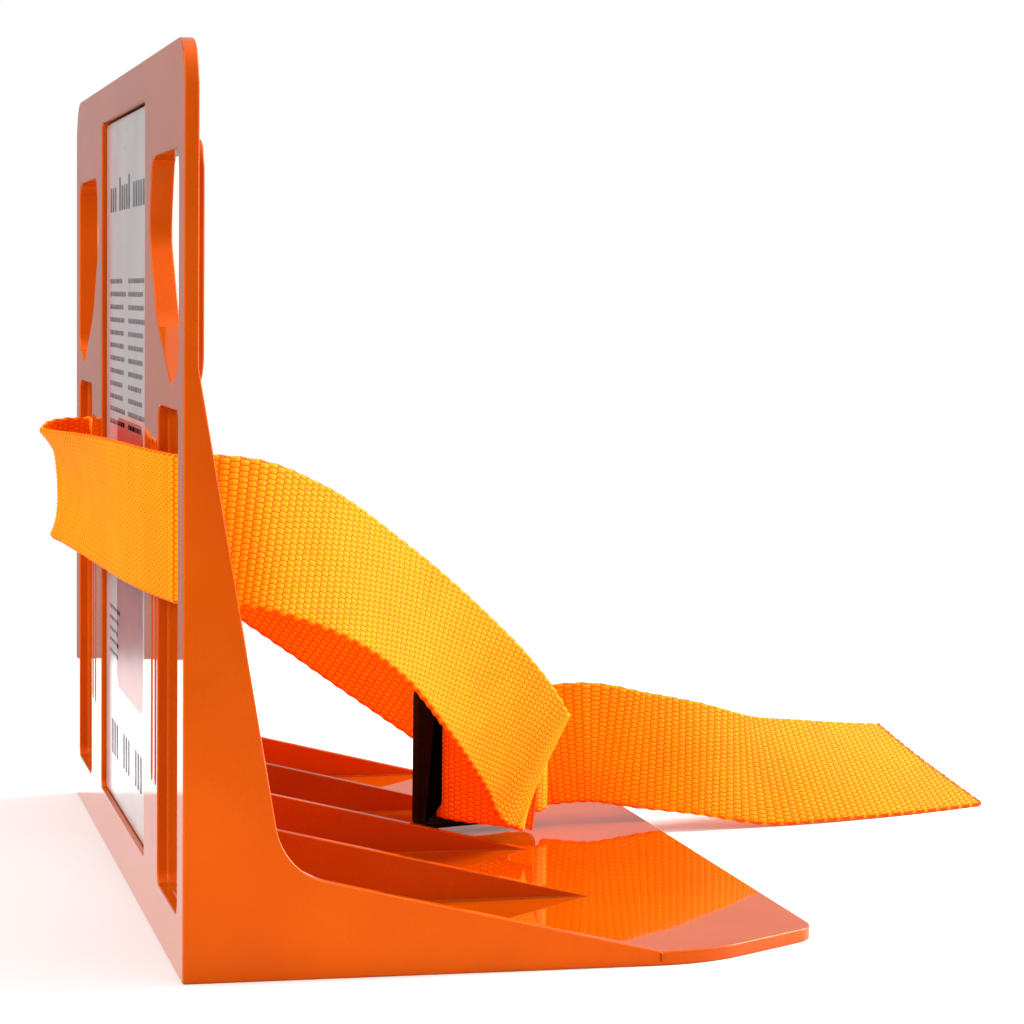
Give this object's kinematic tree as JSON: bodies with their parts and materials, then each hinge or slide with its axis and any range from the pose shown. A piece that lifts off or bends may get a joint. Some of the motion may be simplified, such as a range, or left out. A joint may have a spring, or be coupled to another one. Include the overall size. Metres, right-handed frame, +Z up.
{
  "type": "boot cargo holder",
  "caption": "L-shaped moulded holder that stands on a boot carpet and keeps cargo upright, with a webbing strap and buckle.",
  "frame": {"origin": "centre of the moulding's underside: half way across the width and half way along the base, at floor level", "axes": "+Z up; the upright panel stands at -X and takes the cargo on its -X face; the base runs towards +X; Y is across the width"},
  "size_m": [0.2559, 0.245, 0.19],
  "materials": {
    "orange_moulding": "glossy injection-moulded polypropylene, fine speckle on the sides",
    "label_sheet": "glossy printed sheet",
    "hook_tape": "black hook tape",
    "buckle_plastic": "black moulded plastic",
    "webbing": "woven orange webbing"
  },
  "bodies": {
    "holder": {"bracket": "orange_moulding", "label": "label_sheet", "hook_tape_front": "hook_tape", "hook_tape_rear": "hook_tape"},
    "strap": {"webbing": "webbing"},
    "buckle_frame": {"buckle": "buckle_plastic"}
  },
  "joints": [
    {"name": "strap_height", "type": "slide", "parent": "holder", "child": "strap", "axis": [0, 0, 1], "range_m": [0, 0.006]},
    {"name": "buckle_turn", "type": "hinge", "parent": "strap", "child": "buckle_frame", "pos_m": [0.0225, 0.02711, 0.0228], "axis": [0, 0, 1], "range_deg": [-3, 4]}
  ]
}
